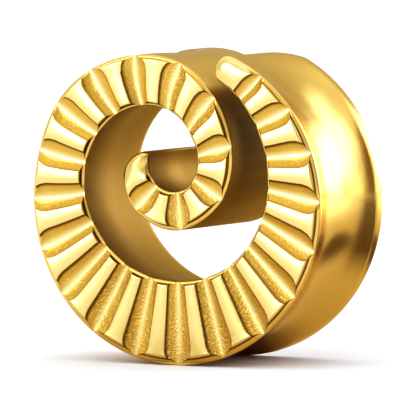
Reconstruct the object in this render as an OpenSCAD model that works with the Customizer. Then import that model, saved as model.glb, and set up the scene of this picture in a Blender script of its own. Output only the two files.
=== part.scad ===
// Spiral ear plug: one cast band of gold-plated steel, wound inwards from a rounded
// outer tip to a small curl. The band's outside is a saddle that the ear sits in, and
// its front carries radial ribs with V-shaped valleys between them.
// The plug stands on its two round rims: the face looks along -Y, the back along +Y.

/* [Plug] */
// Diameter of the front and back rims
flare_d = 21.4; // [21:0.1:22]
// Diameter of the waist that the ear sits on
waist_d = 20; // [19:0.1:20.6]
// Depth from the front rim to the flat back
body_depth = 9.7; // [8:0.1:12]
// Depth of the rounded lip at the back
back_lip = 1.1; // [0.6:0.1:1.6]
// Depth of the sharp lip at the front
front_lip = 0.2; // [0.1:0.05:0.5]

/* [Ribs] */
// Height of the rib tops above the front rim
rib_h = 0.42; // [0.4:0.01:0.6]
// Distance between ribs along the middle of the band
rib_pitch = 2.7; // [2.6:0.02:2.74]
// Share of the pitch that a rib's flat top takes
rib_share = 0.35; // [0.25:0.01:0.45]
// Drop from the rib tops to the crease of a valley
valley_drop = 0.36; // [0.2:0.01:0.38]
// Height of the small step beside each rib
step_h = 0.1; // [0.05:0.01:0.14]
// How much a rib's top is rounded across
crown = 0.04; // [0:0.01:0.06]
// Share of a valley that its rounded outer end closes
petal = 0.55; // [0:0.05:0.8]

/* [Spiral] */
// Height of the curl's hub above the plug's axis
hub_rise = 2.5; // [2.4:0.05:2.6]
// Turn of the outer tip about the hub, in degrees
tip_turn = 66; // [60:1:70]
// How far the tip's rounded back corner is cut away, in degrees
tip_slant = 10; // [0:1:14]
// How much thinner the band is at the back than at the face
draft = 1.1; // [0:0.1:1.2]

/* [Hidden] */

// Columns of the band's table: the turn about the hub in degrees, the reach from the hub
// to the inner edge, the inset of the outer edge from the flare circle, below 0 where the
// front rim swells past it, and the lean, which is how many degrees a rib's outer end
// runs ahead of its inner end
TURN = 0;
INNER = 1;
INSET = 2;
LEAN = 3;
BAND = [
    [90, 6.4, 0, 0],
    [60, 6.55, 0, 0],
    [30, 6.5, 0, 0],
    [0, 6.75, 0, 0],
    [-30, 7.2, 0, 0],
    [-60, 7.6, 0, 0],
    [-90, 7.6, 0, 0],
    [-120, 7.55, 0, 1],
    [-150, 7.25, 0, 2.5],
    [-180, 6.75, -0.1, 4],
    [-210, 5.8, -0.4, 6],
    [-240, 4.6, 0.2, 9],
    [-270, 3.4, 1.2, 12],
    [-300, 2.3, 2.9, 10],
    [-330, 1.85, 4.6, 7],
    [-360, 1.55, 6.2, 3],
    [-390, 1.55, 7.65, 0],
    [-420, 1.6, 8.7, 0],
    [-450, 1.65, 8.95, 0],
    [-480, 1.8, 8.55, 0],
    [-510, 1.9, 7.55, 0],
    [-540, 2, 6.7, 0],
    [-570, 2.2, 7.15, 0],
    [-600, 2.4, 8, 0]
];
row_gap = 30;

// The inner end of the band, where its edges meet
end_turn = -562;
flare_r = flare_d / 2;
waist_drop = (flare_d - waist_d) / 2;
axis_z = flare_r;
rim_y = rib_h - (body_depth + rib_h) / 2;

// Where the ribs stand along the middle of the band, from the rounded tip inwards
first_rib = 1.4;
rib_count = 24;
rib_half = rib_pitch * rib_share / 2;
dome_half = 0.8;
leaf_half = 0.35;
step_w = 0.1;

// Rounded tip, how much rounder it is at the back, the stretch over which its cut corner
// and its missing waist fade, and the share of the depth where that cut begins
tip_round = 1;
tip_back_round = 1.2;
tip_fade = 6;
tip_flat = 0.17;
corner_start = 0.6;
// The draft takes at most this share of the band's width
draft_share = 0.4;
// The back rim stands out this much past the front one on the second pass
back_flare = 0.15;
flare_start = -200;
flare_full = -250;
flare_gone = -330;

// Front rows near each edge: the distance from the edge and the height that the relief
// is cut down to. A sloping crescent runs outside and a narrow ledge inside the ribs
OUTER_ROWS = [[0.1, 0.1], [0.41, 0.2], [0.51, rib_h], [1.1, rib_h]];
INNER_ROWS = [[0.1, 0.08], [0.2, 0.09], [0.32, rib_h], [0.75, rib_h]];
MIDDLE_ROWS = [0.33, 0.67];
narrow = 2.6;
petal_reach = 1.1;
heel = 0.15;
heel_reach = 0.4;

// Depths of the rows on the outer wall: front lip, saddle, rounded back lip
saddle_steps = 6;
lip_steps = 3;
saddle_end = body_depth - back_lip;
OUTER_DEPTHS = concat(
    [0, front_lip],
    [for (i = [1 : saddle_steps]) front_lip + (saddle_end - front_lip) * i / saddle_steps],
    [for (i = [0 : lip_steps]) body_depth - back_lip / 2 * (1 - sin(90 * i / lip_steps))]
);
// Depths of the rows on the inner wall, from the back to just behind its front edge
INNER_DEPTHS = concat([for (share = [1, 0.87, 0.74, corner_start]) body_depth * share], [0.6]);

function clamp(t) = min(max(t, 0), 1);
function smooth(t) = let (u = clamp(t)) u * u * (3 - 2 * u);

// A smooth curve through one column of the band's table
function band_value(turn, column) =
    let (place = (BAND[0][TURN] - turn) / row_gap)
    let (i = min(max(floor(place), 1), len(BAND) - 3))
    let (t = place - i)
    let (a = BAND[i - 1][column], b = BAND[i][column])
    let (c = BAND[i + 1][column], d = BAND[i + 2][column])
    b + t / 2 * (c - a + t * (2 * a - 5 * b + 4 * c - d + t * (3 * (b - c) + d - a)));

// Reach from the hub to a circle about the plug's axis
function circle_reach(turn, radius) =
    sqrt(pow(radius, 2) - pow(hub_rise * cos(turn), 2)) - hub_rise * sin(turn);
function outer_reach(turn) = circle_reach(turn, flare_r) - band_value(turn, INSET);
function inner_reach(turn) = band_value(turn, INNER);
function middle(turn) =
    let (reach = (outer_reach(turn) + inner_reach(turn)) / 2)
    reach * [cos(turn), sin(turn)];

// The length of the band's middle line up to each turn
turn_step = 4;
TURNS = [for (turn = [tip_turn : -turn_step : end_turn]) turn];
MIDDLES = [for (turn = TURNS) middle(turn)];
RUN = [
    for (i = 0, s = 0; i < len(TURNS);
         s = s + (i + 1 < len(TURNS) ? norm(MIDDLES[i + 1] - MIDDLES[i]) : 0), i = i + 1)
        [s, TURNS[i]]
];
band_length = RUN[len(RUN) - 1][0];
function turn_at(s) = lookup(s, RUN);

// How far the outer wall lies inside the rim at a depth
function wall_drop(depth, s) =
    depth > body_depth - back_lip / 2
        ? back_lip / 2 - sqrt(max(pow(back_lip / 2, 2) - pow(depth - body_depth + back_lip / 2, 2), 0))
        : let (t = clamp((depth - front_lip) / (saddle_end - front_lip)))
          waist_drop * smooth(s / tip_fade) * 4 * t * (1 - t);

// The tip's back corner, cut along a quarter of an ellipse
function corner(share) = 1 - sqrt(1 - pow(clamp((share - corner_start) / (1 - corner_start)), 2));

// The rounded outline of the tip at a share of the depth, as a share of the band's width
function round_end(s, share) =
    let (reach = tip_round * (1 + tip_back_round * corner(share)))
    max(sqrt(1 - pow(1 - clamp(s / reach), 3)), tip_flat);

// A place on the band. s runs along the middle, across goes from the outer edge at 0 to
// the inner edge at 1, and depth goes from the rim to the back
function band_point(s, across, depth, height) =
    let (share = depth / body_depth)
    let (straight = turn_at(s))
    let (cut = tip_slant * corner(share) * pow(1 - clamp(s / tip_fade), 2))
    let (turn = straight + band_value(straight, LEAN) * (across - 0.5) - cut)
    let (flare = back_flare * share * smooth((flare_start - turn) / (flare_start - flare_full))
                 * smooth((turn - flare_gone) / (flare_full - flare_gone)))
    let (full = outer_reach(turn) + flare)
    let (inner = inner_reach(turn) + min(draft, draft_share * (full - inner_reach(turn))) * share)
    let (half = (full - inner) / 2 * round_end(s, share))
    let (centre = (full + inner) / 2)
    let (swell = max(-band_value(turn, INSET), 0) * pow(1 - share, 3))
    let (outer = min(centre + half, circle_reach(turn, flare_r + swell - wall_drop(depth, s))))
    let (reach = outer + (centre - half - outer) * across)
    [reach * cos(turn), rim_y + depth - height, axis_z + hub_rise + reach * sin(turn)];

// Stations along the band: place on the front, kind, place of the nearest crease and
// place on the walls, where the stations stand evenly
TOP = 0;
EDGE = 1;
FOOT = 2;
CREASE = 3;
// By kind of station: height, share of the crescent's and of the ledge's width, and how
// far the inner edge steps back
HEIGHT = [rib_h, rib_h - crown, rib_h - crown - step_h, rib_h - valley_drop];
CRESCENT = [1, 1, 0.7, 0.15];
LEDGE = [1, 1, 0.9, 0.6];
NOTCH = [0, 0, 0.05, 0.12];
function rib_place(i) = first_rib + i * rib_pitch;
function half_top(i) = i == 0 ? dome_half : i == rib_count ? leaf_half : rib_half;
STATIONS = concat(
    [for (s = [0, 0.08, 0.25, 0.5, 0.9, first_rib]) [s, TOP, s, s]],
    [for (i = [0 : rib_count - 1])
        let (low = rib_place(i) + half_top(i), high = rib_place(i + 1) - half_top(i + 1))
        let (crease = (low + high) / 2, sixth = rib_pitch / 6)
        each [
            [low, EDGE, crease, rib_place(i) + sixth],
            [low + step_w, FOOT, crease, rib_place(i) + 2 * sixth],
            [crease, CREASE, crease, rib_place(i) + 3 * sixth],
            [high - step_w, FOOT, crease, rib_place(i) + 4 * sixth],
            [high, EDGE, crease, rib_place(i) + 5 * sixth],
            [rib_place(i + 1), TOP, rib_place(i + 1), rib_place(i + 1)]
        ]],
    [for (s = [1.2, 0.7, 0.3, 0]) [band_length - s, TOP, band_length - s, band_length - s]]
);

function station_width(station) =
    let (turn = turn_at(station[0]))
    (outer_reach(turn) - inner_reach(turn)) * round_end(station[0], 0);

// The valleys close towards their outer ends, and a little at their inner ends
function shifted(station, outside, inside) =
    let (close = petal * pow(1 - clamp(outside / petal_reach), 2)
                 + heel * pow(1 - clamp(inside / heel_reach), 2))
    station[0] + (station[2] - station[0]) * close;

// The rounded fall of the front towards both ends of the band
function dome(station) =
    let (from_end = min(station[0], band_length - station[0]))
    station[1] == TOP ? sqrt(1 - pow(1 - clamp(from_end / tip_round), 2)) : 1;

// A point of the front: a distance from the outer edge, and the height it is cut down to
function front_point(station, width, outside, cut) =
    band_point(shifted(station, outside, width - outside), outside / width, 0,
               min(HEIGHT[station[1]], cut) * dome(station));

// The front rows near one edge, from the edge inwards, as distance and height
function edge_rows(rows, tight, share, notch) =
    [for (i = [0 : 3])
        let (near = rows[i][0] * (i < 3 ? share : 1))
        [tight * (near + notch * (1 - rows[i][0] / rows[3][0])), rows[i][1] * (i < 2 ? share : 1)]];

// One ring of points round the band: outer wall, inner wall, then the front
function ring(station) =
    let (kind = station[1], width = station_width(station))
    let (tight = min(width / narrow, 1))
    let (outer = edge_rows(OUTER_ROWS, tight, CRESCENT[kind], 0))
    let (inner = edge_rows(INNER_ROWS, tight, LEDGE[kind], NOTCH[kind]))
    let (left = width - outer[3][0] - inner[3][0])
    concat(
        [for (depth = OUTER_DEPTHS) band_point(station[3], 0, depth, 0)],
        [for (depth = INNER_DEPTHS) band_point(station[3], 1, depth, 0)],
        [band_point(station[3], 1 - tight * NOTCH[kind] / width, 0, 0)],
        [for (row = inner) front_point(station, width, width - row[0], row[1])],
        [for (i = [len(MIDDLE_ROWS) - 1 : -1 : 0])
            front_point(station, width, outer[3][0] + left * MIDDLE_ROWS[i], rib_h)],
        [for (i = [3 : -1 : 0]) front_point(station, width, outer[i][0], outer[i][1])]
    );

RINGS = [for (station = STATIONS) ring(station)];
rows = len(RINGS[0]);
outer_rows = len(OUTER_DEPTHS);
inner_rows = len(INNER_DEPTHS) + 1;

// Triangles that close one end of the band
function end_cap(first) =
    concat(
        [for (i = [0 : outer_rows - 2])
            let (near = inner_match(i), far = inner_match(i + 1))
            each concat(
                [[first + i, first + i + 1, first + near]],
                far == near ? [] : [[first + i + 1, first + far, first + near]]
            )],
        [for (i = [outer_rows + inner_rows - 1 : rows - 2]) [first, first + i, first + i + 1]]
    );
function inner_match(i) =
    outer_rows + inner_rows - 1 - round(i * (inner_rows - 1) / (outer_rows - 1));
function flipped(faces) = [for (face = faces) [face[2], face[1], face[0]]];

module spiral_plug() {
    color("gold")
    polyhedron(
        points = [for (one = RINGS) each one],
        faces = concat(
            [for (k = [0 : len(RINGS) - 2], i = [0 : rows - 1])
                let (a = k * rows + i, b = k * rows + (i + 1) % rows)
                each [[a, b, b + rows], [a, b + rows, a + rows]]],
            end_cap((len(RINGS) - 1) * rows),
            flipped(end_cap(0))
        )
    );
}

spiral_plug();
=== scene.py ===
import math

import bpy
import numpy as np
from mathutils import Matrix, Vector


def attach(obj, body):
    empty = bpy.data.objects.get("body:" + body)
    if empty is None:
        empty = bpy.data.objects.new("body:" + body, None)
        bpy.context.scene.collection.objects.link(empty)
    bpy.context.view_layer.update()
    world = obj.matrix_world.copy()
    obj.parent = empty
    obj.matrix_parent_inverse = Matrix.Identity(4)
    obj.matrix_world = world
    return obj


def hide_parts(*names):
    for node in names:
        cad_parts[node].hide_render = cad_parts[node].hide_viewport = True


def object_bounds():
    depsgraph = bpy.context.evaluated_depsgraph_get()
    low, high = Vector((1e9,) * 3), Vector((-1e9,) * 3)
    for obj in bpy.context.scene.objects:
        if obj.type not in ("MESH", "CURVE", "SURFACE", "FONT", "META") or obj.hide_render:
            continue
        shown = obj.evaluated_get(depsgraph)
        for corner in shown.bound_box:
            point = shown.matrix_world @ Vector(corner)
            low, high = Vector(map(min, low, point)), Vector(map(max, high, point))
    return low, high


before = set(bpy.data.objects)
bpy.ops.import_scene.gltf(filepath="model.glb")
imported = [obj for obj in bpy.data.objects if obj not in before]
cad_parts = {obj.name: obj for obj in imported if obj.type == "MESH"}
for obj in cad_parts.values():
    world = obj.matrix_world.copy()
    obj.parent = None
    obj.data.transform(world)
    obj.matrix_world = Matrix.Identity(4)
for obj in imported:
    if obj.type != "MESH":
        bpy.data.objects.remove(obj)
CAD_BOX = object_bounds()

bl_info = {
    "name": "Spiral Ear Plug",
    "version": (1, 0, 0),
    "blender": (4, 5, 0),
    "location": "View3D > Sidebar > Ear Plug",
    "description": "A gold-plated spiral ear plug with a ribbed face, on a pale floor",
    "category": "Object",
}

MM = 0.001

# The band's table: the turn about the hub in degrees, the reach from the hub to the inner
# edge, the inset of the outer edge from the flare circle, and the lean of the ribs
TURN, INNER, INSET, LEAN = range(4)
BAND = np.array([
    (90, 6.4, 0, 0),
    (60, 6.55, 0, 0),
    (30, 6.5, 0, 0),
    (0, 6.75, 0, 0),
    (-30, 7.2, 0, 0),
    (-60, 7.6, 0, 0),
    (-90, 7.6, 0, 0),
    (-120, 7.55, 0, 1),
    (-150, 7.25, 0, 2.5),
    (-180, 6.75, -0.1, 4),
    (-210, 5.8, -0.4, 6),
    (-240, 4.6, 0.2, 9),
    (-270, 3.4, 1.2, 12),
    (-300, 2.3, 2.9, 10),
    (-330, 1.85, 4.6, 7),
    (-360, 1.55, 6.2, 3),
    (-390, 1.55, 7.65, 0),
    (-420, 1.6, 8.7, 0),
    (-450, 1.65, 8.95, 0),
    (-480, 1.8, 8.55, 0),
    (-510, 1.9, 7.55, 0),
    (-540, 2, 6.7, 0),
    (-570, 2.2, 7.15, 0),
    (-600, 2.4, 8, 0),
])
ROW_GAP = 30

# Turn at the outer tip and at the curl's end, and the step that the run is measured by
TIP_TURN, END_TURN, TURN_STEP = 66, -562, 4

# The rounded tip: its reach, how much rounder its back corner is, how far the cut and the
# saddle fade in, its least thickness, the cut's slant and the share of the depth where it
# starts
TIP_ROUND, TIP_BACK_ROUND, TIP_FADE, TIP_FLAT = 1.0, 1.2, 6.0, 0.03
TIP_SLANT = 10
CORNER_START = 0.6

# Most of the band's width that the thinning towards the back may take
DRAFT_SHARE = 0.4

# The outer edge stands out a little at the back, growing and fading over these turns
BACK_FLARE = 0.15
FLARE_START, FLARE_FULL, FLARE_GONE = -200, -250, -330

# The straight front rim before the saddle, and the crown of the rib tops
FRONT_LIP = 0.2
CROWN = 0.04

# Ribs along the middle of the band, from the rounded tip inwards
FIRST_RIB, RIB_COUNT, DOME_HALF, LEAF_HALF = 1.4, 24, 0.8, 0.35
STEP_W = 0.09
CREASE_SOFT = 0.6

# How the rounded valley ends close: at the outside, and a little at the inside
PETAL_REACH, HEEL, HEEL_REACH = 1.1, 0.15, 0.4

# Below this width the crescent and the ledge narrow with the band, and the least width that
# the back's round is measured by
NARROW, LEAST_WIDTH = 2.6, 0.3

# Rounding of the tip's dome, and where the dome passes into plain ribs
NOSE = 0.9
DOME_END, DOME_BLEND = 1.8, 0.4

# Places of the mesh's columns: on the tip in millimetres, on a rib as a share of its half,
# on a step from the rib's edge, on a flank as a share of it, and on the curl's end
TIP_PLACES = (0, 0.004, 0.02, 0.05, 0.1, 0.18, 0.28, 0.4, 0.55, 0.75, 1.0, 1.2)
RIB_PLACES = (0.35, 0.7, 0.92, 1.0)
STEP_PLACES = (0.02, 0.045, 0.07, STEP_W)
FLANK_PLACES = (0.78, 0.56, 0.36, 0.2, 0.1, 0.04, 0.0)
END_PLACES = (0, 0.2, 0.4, 0.56, 0.7, 0.8, 0.88, 0.94, 0.98, 1)

# Depths of the rings that carry the ribs' outline over into the plain walls
RIM_DEPTHS = (0.03, 0.08, 0.15, 0.25, 0.38, 0.54, 0.72, 0.94, 1.2, 1.5)
SADDLE_RINGS, WALL_RINGS, FRONT_RINGS = 18, 9, 10

# The relief's ends: distance from the edge in millimetres, height of the ledge there, and
# how far up the rib's end wall it is
OUTER_ENDS = (
    (0.02, 0.05, 0), (0.05, 0.085, 0), (0.1, 0.115, 0), (0.2, 0.145, 0), (0.3, 0.17, 0),
    (0.39, 0.185, 0), (0.41, 0.19, 0.1), (0.43, 0.19, 0.42), (0.46, 0.19, 0.78),
    (0.49, 0.19, 0.94), (0.54, 0.19, 1), (0.64, 0.19, 1), (0.82, 0.19, 1),
)
INNER_ENDS = (
    (0.03, 0.03, 0), (0.07, 0.06, 0), (0.11, 0.085, 0), (0.14, 0.095, 0), (0.19, 0.095, 0.02),
    (0.21, 0.095, 0.2), (0.24, 0.095, 0.45), (0.27, 0.095, 0.75), (0.3, 0.095, 0.93),
    (0.35, 0.095, 1), (0.42, 0.095, 1), (0.55, 0.095, 1),
)
OUTER_REACH, INNER_REACH = 1.1, 0.75
CRESCENT_END = 0.54

# Share of the crescent and the ledge that is left at a crease, share of the crescent away
# from the band's low side, and the power that bends its edge between two creases
CREASE_CRESCENT, CREASE_LEDGE, HIGH_CRESCENT, CRESCENT_BEND = 0.15, 0.35, 0.6, 0.8

# The notches in the inner ledge: their least and most width, the turns over which they
# grow, how deep they run, and the share of a flank that they take
NOTCH_LEAST, NOTCH_MOST, NOTCH_TURNS, NOTCH_DEPTH, NOTCH_FLANK = 0.04, 0.14, 40, 1.1, 0.9

# Stretches of the band with a finish or painted shade of their own: the middle turn and the
# reach, and the turn where the outer pass ends
BOTTOM, CURL_BOTTOM, UNDER_TIP, IN_GAP = (-95, 75), (-440, 70), (-290, 60), (-335, 75)
OUTER_PASS_END = -230

# How far the crescent widens at the curl's bottom, as a share of its widening at the band's
# bottom, and the sand before a crease as a share of the sand behind it
CURL_CRESCENT, SAND_BEFORE = 0.6, 0.35

# The valley's finish: the share of the step where it fades in, and the share of the flank
# where it fades out towards the crease
VALLEY_EDGE, VALLEY_FADE = 0.6, 0.5

# Where the curl's satin outside, its colour darkened as painted shade, starts along the walls,
# and the turn of its last leaf and how much burnish with painted highlight that leaf keeps
CURL_START, CURL_BLEND = 51, 5
LEAF_TURN, LEAF_BLEND, LEAF_BURNISH_AND_SHEEN = -530, 15, 0.3

# Painted shade, darkest on sides that face away from the light: the way it faces, to the right
# and up, its least share, how far it has grown on a side that faces neither way, and how fast
# it grows with the facing
SHADE_RIGHT, SHADE_UP = 0.8, -0.6
SHADE_LEAST, SHADE_LEVEL, SHADE_GROWTH = 0.12, 0.45, 0.9

# Lines of painted shade: the share of the flank where they start, the share of the step where
# they end, how far up the inner end wall they reach, where the outer one starts and ends, and
# what is left of both at a crease
FLANK_LINE, STEP_LINE, INNER_LINE, OUTER_LINE, CREASE_LINE = 0.92, 0.7, 0.8, (0.38, 0.48), 0.3

# Satin on the curl's outside, on the back and on its small round, its colour darkened as
# painted shade
CURL_SATIN, BACK_SATIN, ROUND_SATIN = 0.85, 0.5, 0.7

# The inner wall: where its own rings start and end, the depth and strength of the painted
# shade at its front edge, and the middle, reach and strength of its bright streak, a painted
# highlight where the wall is also a little smoother
WALL_START, WALL_END, EDGE_DEPTH, EDGE_SHADE = 0.6, 2.1, 3, 0.4
STREAK_DEPTH, STREAK_REACH, STREAK_SHARE = 4.2, 2.6, 0.12

# Masks of the finishes and of the painted shade and highlights, as the mesh carries them
FINISH_AND_SHADE_MASKS = ("valley", "groove_shade", "satin_and_shade", "top", "sand")


def clamp(t):
    return np.clip(t, 0, 1)


def smooth(t):
    u = clamp(t)
    return u * u * (3 - 2 * u)


def mix(a, b, t):
    return a + (b - a) * t


def around(place, middle, reach):
    """1 at the middle of a stretch, falling to 0 at its ends"""
    return smooth(1 - np.abs(place - middle) / reach)


class Band:
    """The band's form in millimetres: places along it, across it and through its depth"""

    def __init__(self, sizes):
        self.flare_r = sizes.flare_d / MM / 2
        self.waist_drop = self.flare_r - sizes.waist_d / MM / 2
        self.depth = sizes.body_depth / MM
        self.back_lip = sizes.back_lip / MM
        self.rib_h = sizes.rib_h / MM
        self.valley_drop = sizes.valley_drop / MM
        self.step_h = sizes.step_h / MM
        self.pitch = sizes.rib_pitch / MM
        self.rib_half = self.pitch * sizes.rib_share / 2
        self.petal = sizes.petal
        self.hub_rise = sizes.hub_rise / MM
        self.draft = sizes.draft / MM
        self.rim_y = self.rib_h - (self.depth + self.rib_h) / 2
        self.turns = np.arange(TIP_TURN, END_TURN - 1, -TURN_STEP, dtype=float)
        reach = (self.outer_reach(self.turns) + self.inner_reach(self.turns)) / 2
        along = np.radians(self.turns)
        middles = reach[:, None] * np.stack([np.cos(along), np.sin(along)], 1)
        steps = np.linalg.norm(np.diff(middles, axis=0), axis=1)
        self.run = np.concatenate([[0], np.cumsum(steps)])
        self.length = self.run[-1]

    def value(self, turn, column):
        """A smooth curve through one column of the band's table"""
        place = (BAND[0][TURN] - turn) / ROW_GAP
        i = np.clip(np.floor(place).astype(int), 1, len(BAND) - 3)
        t = place - i
        a, b, c, d = (BAND[i + k, column] for k in (-1, 0, 1, 2))
        return b + t / 2 * (c - a + t * (2 * a - 5 * b + 4 * c - d + t * (3 * (b - c) + d - a)))

    def circle_reach(self, turn, radius):
        """Reach from the hub to a circle about the plug's axis"""
        along = np.radians(turn)
        across = self.hub_rise * np.cos(along)
        return np.sqrt(radius ** 2 - across ** 2) - self.hub_rise * np.sin(along)

    def outer_reach(self, turn):
        return self.circle_reach(turn, self.flare_r) - self.value(turn, INSET)

    def inner_reach(self, turn):
        return self.value(turn, INNER)

    def turn_at(self, s):
        return np.interp(s, self.run, self.turns)

    def wall_drop(self, depth, s):
        """How far the outer wall lies inside the rim: a saddle, then a rounded lip"""
        half_lip = self.back_lip / 2
        saddle_end = self.depth - self.back_lip
        t = clamp((depth - FRONT_LIP) / (saddle_end - FRONT_LIP))
        saddle = self.waist_drop * smooth(s / TIP_FADE) * 4 * t * (1 - t)
        rise = depth - self.depth + half_lip
        lip = half_lip - np.sqrt(np.maximum(half_lip ** 2 - rise ** 2, 0))
        return np.where(rise > 0, lip, saddle)

    def round_end(self, s, corner=0.0):
        """The rounded outline of the tip, rounder towards its cut back corner"""
        reach = TIP_ROUND * (1 + TIP_BACK_ROUND * corner)
        return np.maximum(np.sqrt(1 - (1 - clamp(s / reach)) ** 3), TIP_FLAT)

    def point(self, s, across, depth, height):
        """A place on the band, in metres"""
        share = depth / self.depth
        straight = self.turn_at(s)
        corner = 1 - np.sqrt(1 - clamp((share - CORNER_START) / (1 - CORNER_START)) ** 2)
        cut = TIP_SLANT * corner * (1 - clamp(s / TIP_FADE)) ** 2
        turn = straight + self.value(straight, LEAN) * (across - 0.5) - cut
        flare = BACK_FLARE * share * smooth((FLARE_START - turn) / (FLARE_START - FLARE_FULL))
        flare = flare * smooth((turn - FLARE_GONE) / (FLARE_FULL - FLARE_GONE))
        full = self.outer_reach(turn) + flare
        inner = self.inner_reach(turn)
        inner = inner + np.minimum(self.draft, DRAFT_SHARE * (full - inner)) * share
        half = (full - inner) / 2 * self.round_end(s, corner)
        centre = (full + inner) / 2
        swell = np.maximum(-self.value(turn, INSET), 0) * (1 - share) ** 3
        rim = self.circle_reach(turn, self.flare_r + swell - self.wall_drop(depth, s))
        outer = np.minimum(centre + half, rim)
        reach = outer + (centre - half - outer) * across
        x = reach * np.cos(np.radians(turn))
        y = self.rim_y + depth - height + 0 * x
        z = self.flare_r + self.hub_rise + reach * np.sin(np.radians(turn))
        return np.stack([x, y, z], -1) * MM

    def width(self, s):
        turn = self.turn_at(s)
        return (self.outer_reach(turn) - self.inner_reach(turn)) * self.round_end(s)


def columns(band):
    """The mesh's columns: place on the front, place on the walls, the nearest crease, half
    the width of its valley, how far out of the valley, from 0 at its crease to 1 at a rib's
    edge, and the place on a rib"""
    rows = [(s, s, s, 1, 1, 0) for s in TIP_PLACES]
    for i in range(RIB_COUNT):
        here, there = FIRST_RIB + i * band.pitch, FIRST_RIB + (i + 1) * band.pitch
        half_here = DOME_HALF if i == 0 else band.rib_half
        half_there = LEAF_HALF if i == RIB_COUNT - 1 else band.rib_half
        low, high = here + half_here, there - half_there
        mid, half = (low + high) / 2, (high - low) / 2
        down = [(low + e, 1 - e / half, 1) for e in STEP_PLACES]
        down += [(mid - (half - STEP_W) * f, f * (1 - STEP_W / half), 1) for f in FLANK_PLACES]
        stops = [(here + half_here * r, 1, r) for r in (0, *RIB_PLACES)] + down
        stops += [(2 * mid - s, out, rib) for s, out, rib in reversed(down[:-1])]
        stops += [(there - half_there * r, 1, r) for r in reversed(RIB_PLACES)]
        rows += [(s, here + band.pitch * k / len(stops), mid, half, out, rib)
                 for k, (s, out, rib) in enumerate(stops)]
    last = FIRST_RIB + RIB_COUNT * band.pitch
    for share in END_PLACES:
        s = mix(last, band.length, share)
        rows.append((s, s, s, 1, 1, 0))
    return np.array(rows, float).T


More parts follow.
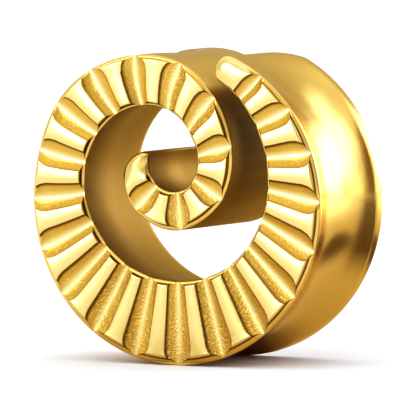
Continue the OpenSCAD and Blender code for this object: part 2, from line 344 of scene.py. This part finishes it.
class BandMesh:
    """The band as rings of points round its section, with the masks of its finishes and of its
    painted shade and highlights
    """

    def __init__(self, band):
        self.band = band
        self.rings, self.looks = [], []
        self.front, self.wall, self.crease, half, self.out, self.rib = columns(band)
        self.turn = band.turn_at(self.front)
        self.width = band.width(self.front)
        self.tight = np.minimum(self.width / NARROW, 1)
        self.step = STEP_W / half
        self.foot_out = 1 - self.step
        self.flank = clamp(self.out / self.foot_out)
        self.valley = smooth((1 - self.out) / (self.step * VALLEY_EDGE))
        self.relief = self.heights()

        # Both ends of the band are domed instead of ribbed
        from_end = np.minimum(self.front, band.length - self.front)
        nose = np.sqrt(1 - (1 - clamp(from_end / NOSE)) ** 2)
        self.end_dome = np.where(self.out >= 1, nose, 1)
        self.domed = np.where(self.out >= 1, 1 - smooth((from_end - DOME_END) / DOME_BLEND), 0)

        # The crescent outside and the ledge inside narrow towards each crease
        self.close_in = np.where(self.out < self.foot_out, smooth(self.flank), 1)
        curl_side = CURL_CRESCENT * around(self.turn, *CURL_BOTTOM)
        low_side = np.maximum(around(self.turn, *BOTTOM), curl_side)
        self.crescent = mix(CREASE_CRESCENT, 1, self.close_in ** CRESCENT_BEND)
        self.crescent = self.crescent * mix(HIGH_CRESCENT, 1, low_side)
        self.ledge = mix(CREASE_LEDGE, 1, self.close_in)
        notch_w = mix(NOTCH_LEAST, NOTCH_MOST, smooth((self.turn + NOTCH_TURNS) / NOTCH_TURNS))
        self.notch = notch_w * smooth(1 - self.flank / NOTCH_FLANK) * (self.out < 1)

        # Sand lies in the low valleys and under the tip, on the outer pass mostly behind each
        # crease
        self.side = np.where(self.front > self.crease, 1, -1)
        sandy = np.maximum(around(self.turn, *BOTTOM), around(self.turn, *UNDER_TIP))
        sandy = np.maximum(sandy, around(self.turn, *CURL_BOTTOM))
        before = (self.side < 0) & (self.turn > OUTER_PASS_END)
        self.sandy = sandy * mix(1, SAND_BEFORE, before)

    def heights(self):
        """The relief across a rib, its step and the valley down to the rounded crease"""
        band = self.band
        top_h = band.rib_h - CROWN * self.rib ** 2
        foot_h = band.rib_h - CROWN - band.step_h
        crease_h = band.rib_h - band.valley_drop
        bend = np.sqrt(self.flank ** 2 + CREASE_SOFT ** 2) - CREASE_SOFT
        fall = bend / (math.sqrt(1 + CREASE_SOFT ** 2) - CREASE_SOFT)
        step_fall = smooth((1 - self.out) / self.step)
        relief = np.where(self.out >= 1, top_h, mix(band.rib_h - CROWN, foot_h, step_fall))
        return np.where(self.out < self.foot_out, mix(crease_h, foot_h, fall), relief)

    def painted_shade(self, across, along):
        """Painted shade, darker in the steps that face down and to the right, away from the
        light
        """
        cos, sin = np.cos(np.radians(self.turn)), np.sin(np.radians(self.turn))
        x = across * cos + along * sin
        z = across * sin - along * cos
        facing = SHADE_RIGHT * x + SHADE_UP * z
        return mix(SHADE_LEAST, 1, smooth(SHADE_LEVEL + SHADE_GROWTH * facing))

    def place(self, outside, inside):
        """Places along the band on the front, drawn together where a valley ends"""
        close = self.band.petal * (1 - clamp(outside / PETAL_REACH)) ** 2
        close = close + HEEL * (1 - clamp(inside / HEEL_REACH)) ** 2
        return self.front + (self.crease - self.front) * close * self.rib

    def add(self, points, valley=0.0, groove_shade=0.0, satin_and_shade=0.0, top=0.0):
        """Adds a ring with its masks, in the order of the finish and painted shade masks"""
        masks = (valley, groove_shade, satin_and_shade, top, self.sandy * valley)
        self.rings.append(points)
        self.looks.append(np.stack([np.broadcast_to(m, self.front.shape) for m in masks], -1))

    def add_outer_wall(self):
        """The front rim, the saddle and the rounded lip, with painted shade inside the narrow
        gap
        """
        band = self.band
        saddle_end, half_lip = band.depth - band.back_lip, band.back_lip / 2
        saddle = np.linspace(0, 1, SADDLE_RINGS + 1)[1:]
        depths = list(RIM_DEPTHS) + [mix(RIM_DEPTHS[-1], saddle_end, t) for t in saddle]
        depths += [saddle_end + half_lip * t for t in (0.25, 0.5, 0.75)]
        depths += [band.depth - half_lip + half_lip * math.sin(math.radians(a))
                   for a in range(0, 91, 9)]
        rim = self.place(0, self.width)
        in_gap = around(self.turn, *IN_GAP)
        on_curl = smooth((self.wall - CURL_START) / CURL_BLEND)
        for depth in depths:
            s = mix(rim, self.wall, smooth(depth / RIM_DEPTHS[-1]))
            self.add(band.point(s, 0, depth, 0), groove_shade=in_gap * smooth(depth / 2),
                     satin_and_shade=CURL_SATIN * on_curl)

    def add_back(self):
        """The flat back and its small round towards the inner wall"""
        band = self.band
        for inwards in (0.35, 0.65):
            self.add(band.point(self.wall, inwards, band.depth, 0), satin_and_shade=BACK_SATIN)
        for inset, rise in ((0.1, 0), (0.03, 0.03), (0, 0.1)):
            across = 1 - inset / np.maximum(self.width, LEAST_WIDTH)
            self.add(band.point(self.wall, across, band.depth - rise, 0), satin_and_shade=ROUND_SATIN)

    def add_inner_wall(self):
        """The satin inner wall, from the back to the front edge, with painted shade near the
        edge
        """
        band = self.band
        edge = self.place(self.width, 0)
        depths = list(np.linspace(band.depth - WALL_START, WALL_END, WALL_RINGS))
        depths += reversed(RIM_DEPTHS)
        for depth in depths:
            s = mix(edge, self.wall, smooth(depth / RIM_DEPTHS[-1]))
            notch = self.notch * self.tight * (1 - smooth(depth / NOTCH_DEPTH)) / self.width
            satin_and_shade = 1 - STREAK_SHARE * around(depth, STREAK_DEPTH, STREAK_REACH)
            shade = EDGE_SHADE * (1 - smooth(depth / EDGE_DEPTH))
            self.add(band.point(s, 1 - notch, depth, 0), groove_shade=shade, satin_and_shade=satin_and_shade)

    def add_front_ring(self, outside, height, edge_distance, groove_shade, in_relief=1.0):
        """A ring on the front, at a distance from the outside and a share of full relief"""
        band = self.band
        s = self.place(outside, self.width - outside)
        nose = clamp(edge_distance / np.minimum(NOSE, self.width / 2))
        dome = band.rib_h * np.sqrt(1 - (1 - nose) ** 2)
        height = mix(height, dome, self.domed) * self.end_dome
        in_valley = self.valley * smooth(self.flank / VALLEY_FADE)
        on_leaf = smooth((LEAF_TURN - self.turn) / LEAF_BLEND)
        # The rib tops and the tip's dome take the burnished colour with its painted highlight
        top = (1 - in_valley) * mix(in_relief, 1, self.domed) * mix(1, LEAF_BURNISH_AND_SHEEN, on_leaf)
        self.add(band.point(s, outside / self.width, 0, height), valley=in_valley * in_relief,
                 groove_shade=groove_shade * (1 - self.domed), top=top)

    def add_front(self):
        """The ledge, the ribs with their end walls and valleys, and the crescent"""
        # Lines of painted shade at the foot of each step and along the ribs' end walls
        on_step = smooth((self.out / self.foot_out - FLANK_LINE) / (1 - FLANK_LINE))
        on_step = on_step * (self.out < self.foot_out + self.step * STEP_LINE)
        foot_line = self.painted_shade(0, -self.side) * on_step
        inner_line = mix(CREASE_LINE, 1, self.close_in) * self.painted_shade(-1, 0)
        outer_line = mix(CREASE_LINE, 1, self.close_in) * self.painted_shade(1, 0)
        for reach, low, up in INNER_ENDS:
            inside = self.tight * (reach * self.ledge + self.notch * (1 - reach / INNER_REACH))
            height = mix(np.minimum(low, self.relief), self.relief, up)
            groove_shade = np.maximum(foot_line * (up > 0), inner_line * (0 < up < INNER_LINE))
            self.add_front_ring(self.width - inside, height, inside, groove_shade, up)
        start = self.tight * OUTER_REACH
        left = self.width - start - self.tight * INNER_REACH
        for t in np.linspace(1, 0, FRONT_RINGS):
            outside = start + left * t
            nearest = np.minimum(outside, self.width - outside)
            self.add_front_ring(outside, self.relief, nearest, foot_line)
        for reach, low, up in reversed(OUTER_ENDS):
            blend = clamp((reach - CRESCENT_END) / (OUTER_REACH - CRESCENT_END))
            outside = self.tight * reach * mix(self.crescent, 1, blend)
            height = mix(np.minimum(low * self.crescent, self.relief), self.relief, up)
            on_line = OUTER_LINE[0] < reach < OUTER_LINE[1]
            groove_shade = np.maximum(foot_line * (up > 0), outer_line * on_line)
            self.add_front_ring(outside, height, outside, groove_shade, up)

    def make(self, name):
        """The closed mesh: quads along the band, an end face at each end, and the masks"""
        self.add_outer_wall()
        self.add_back()
        self.add_inner_wall()
        self.add_front()
        rings, looks = np.stack(self.rings, 1), np.stack(self.looks, 1)
        stations, rows = rings.shape[:2]
        faces = []
        for k in range(stations - 1):
            for i in range(rows):
                j = (i + 1) % rows
                here, there = k * rows, (k + 1) * rows
                faces.append((here + i, there + i, there + j, here + j))
        faces.append(list(range(rows)))
        faces.append([(stations - 1) * rows + i for i in reversed(range(rows))])
        mesh = bpy.data.meshes.new(name)
        mesh.from_pydata(rings.reshape(-1, 3).tolist(), [], faces)
        if mesh.validate():
            raise RuntimeError("the band's mesh has faces that don't hold")
        for i, finish in enumerate(FINISH_AND_SHADE_MASKS):
            layer = mesh.attributes.new(finish, "FLOAT", "POINT")
            layer.data.foreach_set("value", looks[..., i].ravel().astype(np.float32))
        mesh.shade_smooth()
        return mesh


# Sockets of a Mix node that mixes colours
MIX_FACTOR, MIX_FIRST, MIX_SECOND, MIX_RESULT = 0, 6, 7, 2


def opaque(colour):
    """A plain colour with its alpha, or a shade as it is"""
    return colour if isinstance(colour, Shade) else (*colour, 1)


class Shade:
    """A socket on its way through a node tree"""

    def __init__(self, tree, socket=None):
        self.tree = tree
        self.socket = socket

    def node(self, kind, settings=None, sockets=None, output=0):
        """A new node: its settings first, then the values or links of its sockets"""
        new = self.tree.nodes.new(kind)
        for name, value in (settings or {}).items():
            setattr(new, name, value)
        for name, value in (sockets or {}).items():
            if isinstance(value, Shade):
                self.tree.links.new(value.socket, new.inputs[name])
            else:
                new.inputs[name].default_value = value
        return Shade(self.tree, new.outputs[output] if len(new.outputs) else None)

    def math(self, operation, *values):
        """A Math node on this many numbers"""
        return self.node("ShaderNodeMath", {"operation": operation}, dict(enumerate(values)))

    def vector(self, operation, *others, output="Vector"):
        """A Vector Math node on this vector"""
        values = dict(enumerate((self, *others)))
        return self.node("ShaderNodeVectorMath", {"operation": operation}, values, output)

    def __add__(self, other):
        return self.math("ADD", self, other)

    __radd__ = __add__

    def __sub__(self, other):
        return self.math("SUBTRACT", self, other)

    def __rsub__(self, other):
        return self.math("SUBTRACT", other, self)

    def __mul__(self, other):
        return self.math("MULTIPLY", self, other)

    __rmul__ = __mul__

    def __abs__(self):
        return self.math("ABSOLUTE", self)

    def larger(self, other):
        return self.math("MAXIMUM", self, other)

    def smaller(self, other):
        return self.math("MINIMUM", self, other)

    def smooth(self, low, high):
        """From 0 at the low value to 1 at the high one"""
        return self.node("ShaderNodeMapRange", {"interpolation_type": "SMOOTHSTEP"},
                         {"Value": self, "From Min": low, "From Max": high})

    def between(self, first, second):
        """The colour that this factor picks between two"""
        colours = {MIX_FIRST: opaque(first), MIX_SECOND: opaque(second)}
        return self.node("ShaderNodeMix", {"data_type": "RGBA"}, {MIX_FACTOR: self, **colours},
                         MIX_RESULT)

    def tint(self, colour, factor):
        """This colour, going over to another by a factor"""
        return factor.between(self, colour)


def fresh_nodes(owner):
    """Empties the node tree of a material or a world"""
    owner.use_nodes = True
    owner.node_tree.nodes.clear()
    return Shade(owner.node_tree)


def direction(azimuth, elevation):
    """The way out from the plug towards a bearing, as the camera's azimuth counts it"""
    a, e = math.radians(azimuth), math.radians(elevation)
    return np.array([math.sin(a) * math.cos(e), -math.cos(a) * math.cos(e), math.sin(e)])


def towards(way, azimuth, elevation=0):
    """How near a direction comes to a bearing: the cosine of the angle between them"""
    return way.vector("DOT_PRODUCT", tuple(direction(azimuth, elevation)), output="Value")


# The dark gap at the right of the studio: its bearing, half its width and where it ends
GAP_BEARING, GAP_HALF, GAP_SOFT = 121.5, 0.065, 0.125


def dark_gap(way):
    """How far a direction lies in the dark gap, from 0 to 1"""
    across = abs(towards(way, GAP_BEARING + 90))
    inside = 1 - across.smooth(GAP_HALF, GAP_SOFT)
    return inside * towards(way, GAP_BEARING).smooth(0.0, 0.3)


def gold_plate(colours):
    """Gold plating: polished rims and saddle, sandy valleys, satin inner walls, with painted
    shade in the steps, the gap and the hollows and painted highlights on the rib tops
    """
    material = bpy.data.materials.new("gold_plate")
    at = fresh_nodes(material)
    where = at.node("ShaderNodeTexCoord", output="Object")
    valley, groove_shade, satin_and_shade, top, sandy = (
        at.node("ShaderNodeAttribute", {"attribute_name": name}, output="Fac")
        for name in FINISH_AND_SHADE_MASKS)

    def grain(scale, detail=1.0):
        return at.node("ShaderNodeTexNoise", {},
                       {"Vector": where, "Scale": scale, "Detail": detail})

    # Fine sand: pale grains that stand up, paler as painted glints, and dark pits between them,
    # darker as painted shade, gathered in patches
    sand = grain(6500.0)
    grains = sand.smooth(0.5, 0.66)
    pits = (1 - sand).smooth(0.52, 0.66)
    patches = grain(160.0).smooth(0.35, 0.6)
    sanded = 0.15 * valley + sandy * (0.35 + 0.5 * patches)

    # Casting marks: small blotches in the finish and a faint ripple on the polished parts
    blotch = grain(700.0, 2.0)
    ripple = grain(420.0)

    base = (valley * (0.65 + 0.3 * blotch)).between(colours.polished, colours.sandy)
    # Painted glints on the sand's grains and painted shade in its pits
    base = base.tint(colours.burnish_and_highlight, 0.65 * sanded * grains)
    base = base.tint(colours.groove_shade, 0.24 * sanded * pits)
    # Satin finish, its colour darkened as painted shade in the curl and on the inner walls
    base = base.tint(colours.satin_and_shade, 0.92 * satin_and_shade)
    # Painted shade in the steps, in the narrow gap and at the inner wall's front edge
    base = base.tint(colours.groove_shade, 0.85 * groove_shade)
    # Rib tops and the tip's dome: burnish with a painted highlight
    base = base.tint(colours.burnish_and_highlight, top)
    rough = 0.13 + 0.08 * valley + 0.47 * satin_and_shade + 0.06 * blotch
    height = 0.75 * grains * sanded + 0.3 * sand * satin_and_shade + 0.6 * ripple + 0.08 * sand
    normal = at.node("ShaderNodeBump", {},
                     {"Height": height, "Strength": 1.0, "Distance": 0.04 * MM})
    metal = at.node("ShaderNodeBsdfPrincipled", {}, {
        "Base Color": base, "Roughness": rough, "Normal": normal, "Metallic": 1.0,
        "Specular Tint": opaque((1.0, 0.92, 0.66))})
    at.node("ShaderNodeOutputMaterial", {}, {"Surface": metal})
    return material


def floor_white(colours):
    """Matt white paper with a faint fibre"""
    material = bpy.data.materials.new("floor_white")
    at = fresh_nodes(material)
    where = at.node("ShaderNodeTexCoord", output="Object")
    fibre = at.node("ShaderNodeTexNoise", {}, {"Vector": where, "Scale": 900.0, "Detail": 2.0})
    base = (0.1 * fibre).between(colours.floor, (0.9, 0.9, 0.91))
    paper = at.node("ShaderNodeBsdfPrincipled", {}, {
        "Base Color": base, "Roughness": 0.6, "Specular IOR Level": 0.0})
    at.node("ShaderNodeOutputMaterial", {}, {"Surface": paper})
    return material


# Where the card's dark patch lies, the bearing that its pale front part faces, and the
# bearing at which its far part glows under the long highlight
PATCH_PLACE = (0.019, 0.026, 0)
FRONT_BEARING, GLOW_BEARING = -28, 165


def card_brown(colours):
    """The card under the plug that only reflections show: warm near the plug, pale in front
    and far out, with a dark stripe and patch, and a faint glow at its far back right"""
    material = bpy.data.materials.new("card_brown")
    at = fresh_nodes(material)
    where = at.node("ShaderNodeTexCoord", output="Object")
    way = where.vector("NORMALIZE")
    far = where.vector("LENGTH", output="Value")
    stripe = 0.97 * dark_gap(way) * far.smooth(0.014, 0.026)
    off_patch = where.vector("DISTANCE", PATCH_PLACE, output="Value")
    patch = 0.95 - 0.95 * off_patch.smooth(0.005, 0.014)
    in_front = towards(way, FRONT_BEARING).smooth(0.2, 0.7) * far.smooth(0.006, 0.026)
    pale = far.smooth(0.04, 0.12).larger(in_front)
    base = pale.between(colours.card, colours.floor).tint(colours.flag, stripe.larger(patch))
    shine = far.smooth(0.045, 0.2) * towards(way, GLOW_BEARING).smooth(0.85, 0.985)
    glow = shine.between((0, 0, 0), (1, 0.97, 0.9))
    card = at.node("ShaderNodeBsdfPrincipled", {}, {
        "Base Color": base, "Roughness": 0.8, "Emission Color": glow, "Emission Strength": 1.2})
    at.node("ShaderNodeOutputMaterial", {}, {"Surface": card})
    return material


# Soft lobes of the studio air: name, azimuth, elevation, the cosines at which each fades in
# and is full, and its radiance
LOBES = (
    ("above", 0, 90, 0.3, 0.95, 0.75),
    ("front", 0, 15, 0.55, 0.97, 0.4),
    ("left", -80, 8, 0.6, 0.97, 0.5),
    ("side", 118, 8, 0.7, 0.97, 0.6),
    ("back", 178, 12, 0.55, 0.98, 0.25),
    ("glow", 165, 5, 0.945, 0.997, 2.1),
    ("upper", 150, 20, 0.94, 0.999, 1.9),
    ("wing", 178, -2, 0.955, 0.998, 0.6),
    ("strip", 136, 3, 0.98, 0.998, 0.6),
)

# The air's radiance between the lobes, the share that the dark gap takes away, and the
# plain white that the camera sees
AIR_BASE, GAP_DARK, BACKDROP = 0.25, 0.82, 1.2

# Hues of the air where it is dim, bright, in the long highlight and in the dark gap
DIM_HUE, AIR_HUE = (1, 0.86, 0.64), (0.94, 0.97, 1)
COOL_HUE, GAP_HUE = (0.86, 0.9, 1.35), (1, 0.6, 0.25)


def studio_air(brightness):
    """A pale surround with soft lobes and a dark gap, plain white to the camera"""
    world = bpy.data.worlds.new("studio_air")
    at = fresh_nodes(world)
    way = at.node("ShaderNodeTexCoord", output="Generated")
    seen = at.node("ShaderNodeLightPath", output="Is Camera Ray")
    level, lobes = AIR_BASE, {}
    for name, azimuth, elevation, low, high, radiance in LOBES:
        lobes[name] = towards(way, azimuth, elevation).smooth(low, high)
        level = level + radiance * lobes[name]
    gap = dark_gap(way) * (1 - towards(way, 0, 90).smooth(0.6, 0.85))
    level = level * (1 - GAP_DARK * gap) * brightness
    level = level + seen * (BACKDROP - level)
    cool = (1.8 * (lobes["glow"] + lobes["upper"])).smaller(1.0) * (1 - seen)
    hue = level.smooth(0.25, 0.85).between(DIM_HUE, AIR_HUE)
    hue = hue.tint(COOL_HUE, cool).tint(GAP_HUE, gap * (1 - seen))
    air = at.node("ShaderNodeBackground", {}, {"Color": hue, "Strength": level})
    at.node("ShaderNodeOutputWorld", {}, {"Surface": air})
    return world


def length_value(name, description, value):
    return bpy.props.FloatProperty(name=name, description=description, default=value, min=0.0,
                                   max=0.05, subtype="DISTANCE", unit="LENGTH", precision=5)


def colour_value(name, description, value):
    return bpy.props.FloatVectorProperty(name=name, description=description, default=value,
                                         size=3, min=0, max=1, subtype="COLOR")


class EarPlugSizes(bpy.types.PropertyGroup):
    """Sizes of the plug"""
    flare_d: length_value("Flare", "Diameter of the front and back rims", 0.0214)
    waist_d: length_value("Waist", "Diameter of the waist that the ear sits on", 0.02)
    body_depth: length_value("Depth", "Depth from the front rim to the flat back", 0.0097)
    back_lip: length_value("Back lip", "Depth of the rounded lip at the back", 0.0011)
    rib_h: length_value("Rib height", "Height of the rib tops above the front rim", 0.00042)
    rib_pitch: length_value("Rib pitch", "Distance between ribs along the band", 0.0027)
    valley_drop: length_value("Valley drop", "Drop from the rib tops to the crease", 0.00038)
    step_h: length_value("Step", "Height of the small step beside each rib", 0.00011)
    hub_rise: length_value("Hub rise", "Height of the curl's hub above the plug's axis", 0.0025)
    draft: length_value("Draft", "How much thinner the band is at the back", 0.0011)
    rib_share: bpy.props.FloatProperty(
        name="Rib share", description="Share of the pitch that a rib's top takes",
        default=0.35, min=0.1, max=0.6, subtype="FACTOR")
    petal: bpy.props.FloatProperty(
        name="Petal", description="Share of a valley that its rounded outer end closes",
        default=0.55, min=0, max=0.8, subtype="FACTOR")


class EarPlugColours(bpy.types.PropertyGroup):
    """Colours of the plating and the stage"""
    polished: colour_value("Polished gold", "Rims and saddle", (0.79, 0.54, 0.16))
    sandy: colour_value("Sandy gold", "Valleys between the ribs", (0.66, 0.4, 0.065))
    # Satin finish, its colour darkened as painted shade
    satin_and_shade: colour_value("Satin gold", "Inner walls and curl", (0.43, 0.26, 0.045))
    # Painted shade in the steps, the sand's pits, the narrow gap and the inner wall's front
    # edge
    groove_shade: colour_value("Groove", "Steps beside the ribs", (0.08, 0.03, 0.004))
    # Burnish with a painted highlight on the rib tops, and painted glints on the sand's grains
    burnish_and_highlight: colour_value("Rib top", "Burnished rib tops", (0.81, 0.63, 0.26))
    floor: colour_value("Floor", "Matt white floor", (0.92, 0.94, 0.97))
    card: colour_value("Card", "Warm card under the plug, seen only in its reflections",
                       (0.68, 0.58, 0.4))
    flag: colour_value("Flag", "Dark stripe and patch on the card", (0.08, 0.035, 0.008))


class EarPlugStudio(bpy.types.PropertyGroup):
    """The camera and the light"""
    azimuth: bpy.props.FloatProperty(
        name="Azimuth", description="Camera's turn to the right of the face",
        default=math.radians(27.9), subtype="ANGLE", unit="ROTATION")
    elevation: bpy.props.FloatProperty(
        name="Elevation", description="Camera's height above the horizon",
        default=math.radians(3.6), subtype="ANGLE", unit="ROTATION")
    distance: bpy.props.FloatProperty(
        name="Distance", description="Camera's distance from the plug",
        default=0.428, subtype="DISTANCE", unit="LENGTH")
    lens: bpy.props.FloatProperty(
        name="Lens", description="Focal length in millimetres",
        default=560, min=50, max=1000, subtype="DISTANCE_CAMERA")
    brightness: bpy.props.FloatProperty(
        name="Brightness", description="Share of the studio light's full strength",
        default=1.0, min=0, max=3, subtype="FACTOR")


class EARPLUG_OT_band(bpy.types.Operator):
    """Makes the spiral band with its ribs, in place of the plain solid"""
    bl_idname = "earplug.band"
    bl_label = "Spiral Band"

    def execute(self, context):
        mesh = BandMesh(Band(context.scene.earplug_sizes)).make("spiral_band")
        mesh.materials.append(gold_plate(context.scene.earplug_colours))
        piece = bpy.data.objects.new("spiral_band", mesh)
        context.scene.collection.objects.link(piece)
        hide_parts("spiral_plug")
        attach(piece, "root")
        return {"FINISHED"}


# Softboxes: name, azimuth, elevation, distance, width, height, radiance, and whether the
# gold mirrors it
LIGHTS = (
    ("front_box", -27, 12, 0.42, 0.26, 0.19, 2.2, True),
    ("top_box", 0, 90, 1.1, 2.4, 2.4, 0.1, False),
)

# Radius of the floor and of the card, the card's height over the floor, and their corners
FLOOR_REACH, CARD_REACH, CARD_RISE, DISC_CORNERS = 3, 0.6, 0.0002, 96


def lay_disc(scene, name, radius, rise, material):
    """A round flat sheet of the stage"""
    turns = [2 * math.pi * i / DISC_CORNERS for i in range(DISC_CORNERS)]
    rim = [(radius * math.cos(turn), radius * math.sin(turn), 0) for turn in turns]
    mesh = bpy.data.meshes.new(name)
    mesh.from_pydata(rim, [], [tuple(range(DISC_CORNERS))])
    mesh.materials.append(material)
    disc = bpy.data.objects.new(name, mesh)
    disc.location.z = rise
    scene.collection.objects.link(disc)
    return disc


def aim(obj, place, target):
    """Puts a lamp or the camera at a place, looking at a target"""
    obj.location = Vector(place)
    obj.rotation_mode = "QUATERNION"
    obj.rotation_quaternion = (Vector(target) - Vector(place)).to_track_quat("-Z", "Y")


def hang_lights(scene, centre):
    """The softboxes round the plug, which the camera doesn't see"""
    for name, azimuth, elevation, distance, wide, tall, radiance, mirrored in LIGHTS:
        lamp = bpy.data.lights.new(name, "AREA")
        lamp.shape = "ELLIPSE"
        lamp.size, lamp.size_y = wide, tall
        area = math.pi / 4 * wide * tall
        lamp.energy = radiance * math.pi * area * scene.earplug_studio.brightness
        box = bpy.data.objects.new(name, lamp)
        box.visible_camera = False
        box.visible_glossy = mirrored
        scene.collection.objects.link(box)
        aim(box, centre + distance * direction(azimuth, elevation), centre)


def set_camera(scene, face, centre):
    """The camera, at its distance from the face and looking at the plug's centre"""
    studio = scene.earplug_studio
    camera = bpy.data.cameras.new("camera")
    camera.lens = studio.lens
    camera.clip_start, camera.clip_end = 0.01, 20
    eye = bpy.data.objects.new("camera", camera)
    scene.collection.objects.link(eye)
    back = direction(math.degrees(studio.azimuth), math.degrees(studio.elevation))
    aim(eye, face + studio.distance * back, centre)
    scene.camera = eye


class EARPLUG_OT_stage(bpy.types.Operator):
    """Makes the floor, the soft studio light and the camera"""
    bl_idname = "earplug.stage"
    bl_label = "Stage"

    def execute(self, context):
        scene = context.scene
        colours = scene.earplug_colours
        low, high = (np.array(corner) for corner in CAD_BOX)
        centre = (low + high) / 2
        lay_disc(scene, "floor", FLOOR_REACH, 0, floor_white(colours))
        card = lay_disc(scene, "front_card", CARD_REACH, CARD_RISE, card_brown(colours))
        card.visible_camera = False
        card.visible_shadow = False
        card.visible_diffuse = False
        hang_lights(scene, centre)
        set_camera(scene, np.array([0, low[1], centre[2]]), centre)
        scene.world = studio_air(scene.earplug_studio.brightness)
        scene.view_settings.view_transform = "Standard"
        scene.view_settings.look = "High Contrast"
        return {"FINISHED"}


class EARPLUG_PT_panel(bpy.types.Panel):
    """Lists the values and the makers of the pieces"""
    bl_label = "Ear Plug"
    bl_idname = "EARPLUG_PT_panel"
    bl_space_type = "VIEW_3D"
    bl_region_type = "UI"
    bl_category = "Ear Plug"

    def draw(self, context):
        for group in GROUPS:
            values = getattr(context.scene, group)
            for name in values.bl_rna.properties.keys():
                if name not in {"rna_type", "name"}:
                    self.layout.prop(values, name)
        self.layout.operator("earplug.band")
        self.layout.operator("earplug.stage")


GROUPS = {
    "earplug_sizes": EarPlugSizes,
    "earplug_colours": EarPlugColours,
    "earplug_studio": EarPlugStudio,
}
CLASSES = (*GROUPS.values(), EARPLUG_OT_band, EARPLUG_OT_stage, EARPLUG_PT_panel)


def register():
    for each in CLASSES:
        bpy.utils.register_class(each)
    for name, group in GROUPS.items():
        setattr(bpy.types.Scene, name, bpy.props.PointerProperty(type=group))


def unregister():
    for name in GROUPS:
        delattr(bpy.types.Scene, name)
    for each in reversed(CLASSES):
        bpy.utils.unregister_class(each)


def main():
    register()
    bpy.ops.earplug.band()
    bpy.ops.earplug.stage()


if __name__ == "__main__":
    main()
